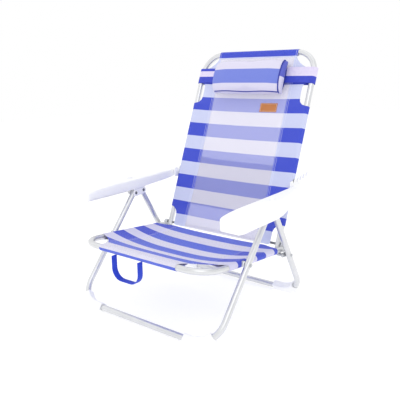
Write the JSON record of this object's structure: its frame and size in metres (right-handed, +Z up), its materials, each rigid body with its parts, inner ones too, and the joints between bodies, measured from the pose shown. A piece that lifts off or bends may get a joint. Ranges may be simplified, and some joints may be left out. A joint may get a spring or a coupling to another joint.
{
  "type": "beach chair",
  "caption": "Low folding beach chair with aluminium tube frame, plastic armrests, striped mesh seat and reclining back, sliding head pillow and carry handle.",
  "frame": {"origin": "centre of the chair's footprint box, on the floor", "axes": "+Z up, -Y the way the sitter faces, +X the sitter's left"},
  "size_m": [0.624, 0.6578, 0.8041],
  "materials": {
    "aluminium_tube": "satin silver anodised",
    "steel": "dull zinc-plated",
    "white_plastic": "white moulded, lightly satin",
    "grey_plastic": "pale grey moulded",
    "striped_mesh": "blue and white striped open-weave mesh",
    "pillow_cloth": "blue and white striped cloth with dark blue piping",
    "blue_webbing": "flat woven tape",
    "tan_patch": "blank tan patch with a stitched edge"
  },
  "bodies": {
    "seat": {"seat_frame": "aluminium_tube", "seat_ear_left": "grey_plastic", "seat_ear_right": "grey_plastic", "seat_panel": "striped_mesh", "back_hinge_rod": "steel"},
    "front_legs": {"front_leg_frame": "aluminium_tube", "front_foot_left": "white_plastic", "front_foot_right": "white_plastic", "leg_knuckle_left": "white_plastic", "leg_knuckle_right": "white_plastic", "armrest_pin_left": "steel", "armrest_pin_right": "steel", "rear_leg_pin_left": "steel", "rear_leg_pin_right": "steel", "seat_bolt_left": "steel", "seat_bolt_right": "steel", "seat_spacer_left": "white_plastic", "seat_spacer_right": "white_plastic"},
    "rear_legs": {"rear_leg_frame": "aluminium_tube", "rear_foot_left": "white_plastic", "rear_foot_right": "white_plastic", "seat_hook_left": "steel", "seat_hook_right": "steel", "hook_rivet_left": "steel", "hook_rivet_right": "steel"},
    "armrests": {"armrest_left": "white_plastic", "armrest_right": "white_plastic", "recline_rack_left": "white_plastic", "recline_rack_right": "white_plastic"},
    "backrest": {"back_frame": "aluminium_tube", "back_plug_left": "grey_plastic", "back_plug_right": "grey_plastic", "recline_bolt_left": "steel", "recline_bolt_right": "steel", "back_panel": "striped_mesh", "rear_pocket": "striped_mesh", "sewn_patch": "tan_patch"},
    "headrest": {"headrest_pillow": "pillow_cloth", "headrest_band": "pillow_cloth"},
    "handle": {"carry_handle": "blue_webbing"}
  },
  "joints": [
    {"name": "fold", "type": "hinge", "parent": "seat", "child": "front_legs", "pos_m": [0, -0.15424, 0.20454], "axis": [-1, 0, 0], "range_deg": [0, 55.3]},
    {"name": "rear_leg_fold", "type": "hinge", "parent": "front_legs", "child": "rear_legs", "pos_m": [0, -0.01736, 0.331], "axis": [-1, 0, 0], "range_deg": [0, 67.51]},
    {"name": "armrest_fold", "type": "hinge", "parent": "front_legs", "child": "armrests", "pos_m": [0, -0.05436, 0.326], "axis": [1, 0, 0], "range_deg": [0, 48.07]},
    {"name": "back_recline", "type": "hinge", "parent": "seat", "child": "backrest", "pos_m": [0, 0.08764, 0.195], "axis": [-1, 0, 0], "range_deg": [-98.9, 36]},
    {"name": "pillow_slide", "type": "slide", "parent": "backrest", "child": "headrest", "axis": [0, -0.3606, -0.9327], "range_m": [0, 0.05]},
    {"name": "handle_swing", "type": "hinge", "parent": "seat", "child": "handle", "pos_m": [0, -0.31636, 0.218], "axis": [1, 0, 0], "range_deg": [0, 20]}
  ],
  "couplings": [
    {"joint": "rear_leg_fold", "follows": "fold", "ratio": 1.2206},
    {"joint": "armrest_fold", "follows": "fold", "ratio": 0.869}
  ]
}
